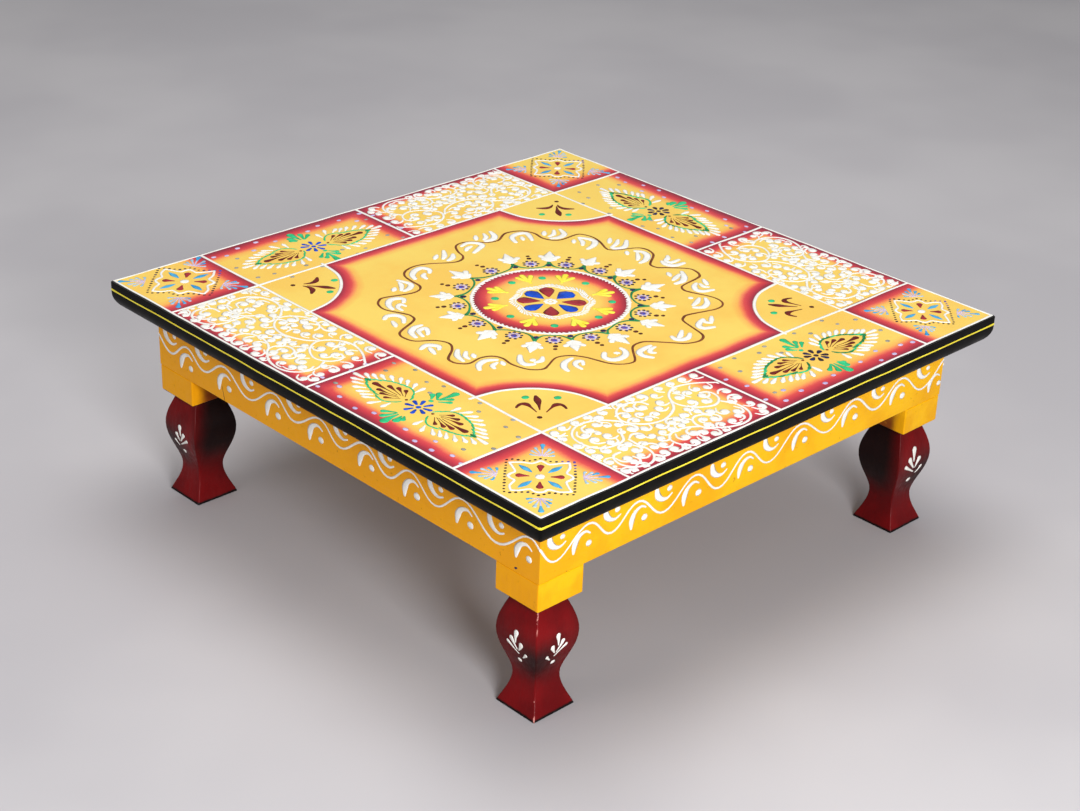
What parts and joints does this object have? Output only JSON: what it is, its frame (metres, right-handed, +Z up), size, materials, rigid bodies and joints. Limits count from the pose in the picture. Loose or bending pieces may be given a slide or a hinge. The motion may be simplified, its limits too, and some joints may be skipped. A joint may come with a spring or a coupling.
{
  "type": "bajot low table",
  "caption": "Low square wooden bajot table: a board with a rounded-under edge on a mitred apron ring, with shaped square-sawn feet, painted all over with traditional ornament.",
  "frame": {"origin": "on the floor, under the middle of the board", "axes": "+Z up; X and Y run square to the board's edges, front is -Y"},
  "size_m": [0.4, 0.4, 0.15],
  "materials": {
    "board_paint": "airbrushed enamel on wood, yellow-orange shaded with crimson, satin gloss",
    "edge_black": "black gloss enamel on the moulded wooden edge, with a yellow line",
    "apron_paint": "brushed yellow enamel on wood, satin",
    "foot_red": "dark red enamel on wood with airbrushed black shading, gloss",
    "raised_white": "raised white acrylic paint strokes, gloss",
    "raised_colours": "raised acrylic paint strokes in red, blue, green, brown and lilac, gloss",
    "bare_wood": "planed bare wood",
    "screw_steel": "zinc-plated steel"
  },
  "bodies": {
    "root": {"top_board": "board_paint", "rail_front": "apron_paint", "rail_right": "apron_paint", "rail_back": "apron_paint", "rail_left": "apron_paint", "leg_front_left": "foot_red", "leg_front_right": "foot_red", "leg_back_right": "foot_red", "leg_back_left": "foot_red", "cleat_front": "bare_wood", "cleat_right": "bare_wood", "cleat_back": "bare_wood", "cleat_left": "bare_wood", "board_screw_front_1": "screw_steel", "board_screw_front_2": "screw_steel", "board_screw_right_1": "screw_steel", "board_screw_right_2": "screw_steel", "board_screw_back_1": "screw_steel", "board_screw_back_2": "screw_steel", "board_screw_left_1": "screw_steel", "board_screw_left_2": "screw_steel", "cleat_screw_front_1": "screw_steel", "cleat_screw_front_2": "screw_steel", "cleat_screw_right_1": "screw_steel", "cleat_screw_right_2": "screw_steel", "cleat_screw_back_1": "screw_steel", "cleat_screw_back_2": "screw_steel", "cleat_screw_left_1": "screw_steel", "cleat_screw_left_2": "screw_steel", "leg_screw_front_left_1": "screw_steel", "leg_screw_front_left_2": "screw_steel", "leg_screw_front_right_1": "screw_steel", "leg_screw_front_right_2": "screw_steel", "leg_screw_back_right_1": "screw_steel", "leg_screw_back_right_2": "screw_steel", "leg_screw_back_left_1": "screw_steel", "leg_screw_back_left_2": "screw_steel"}
  },
  "joints": []
}
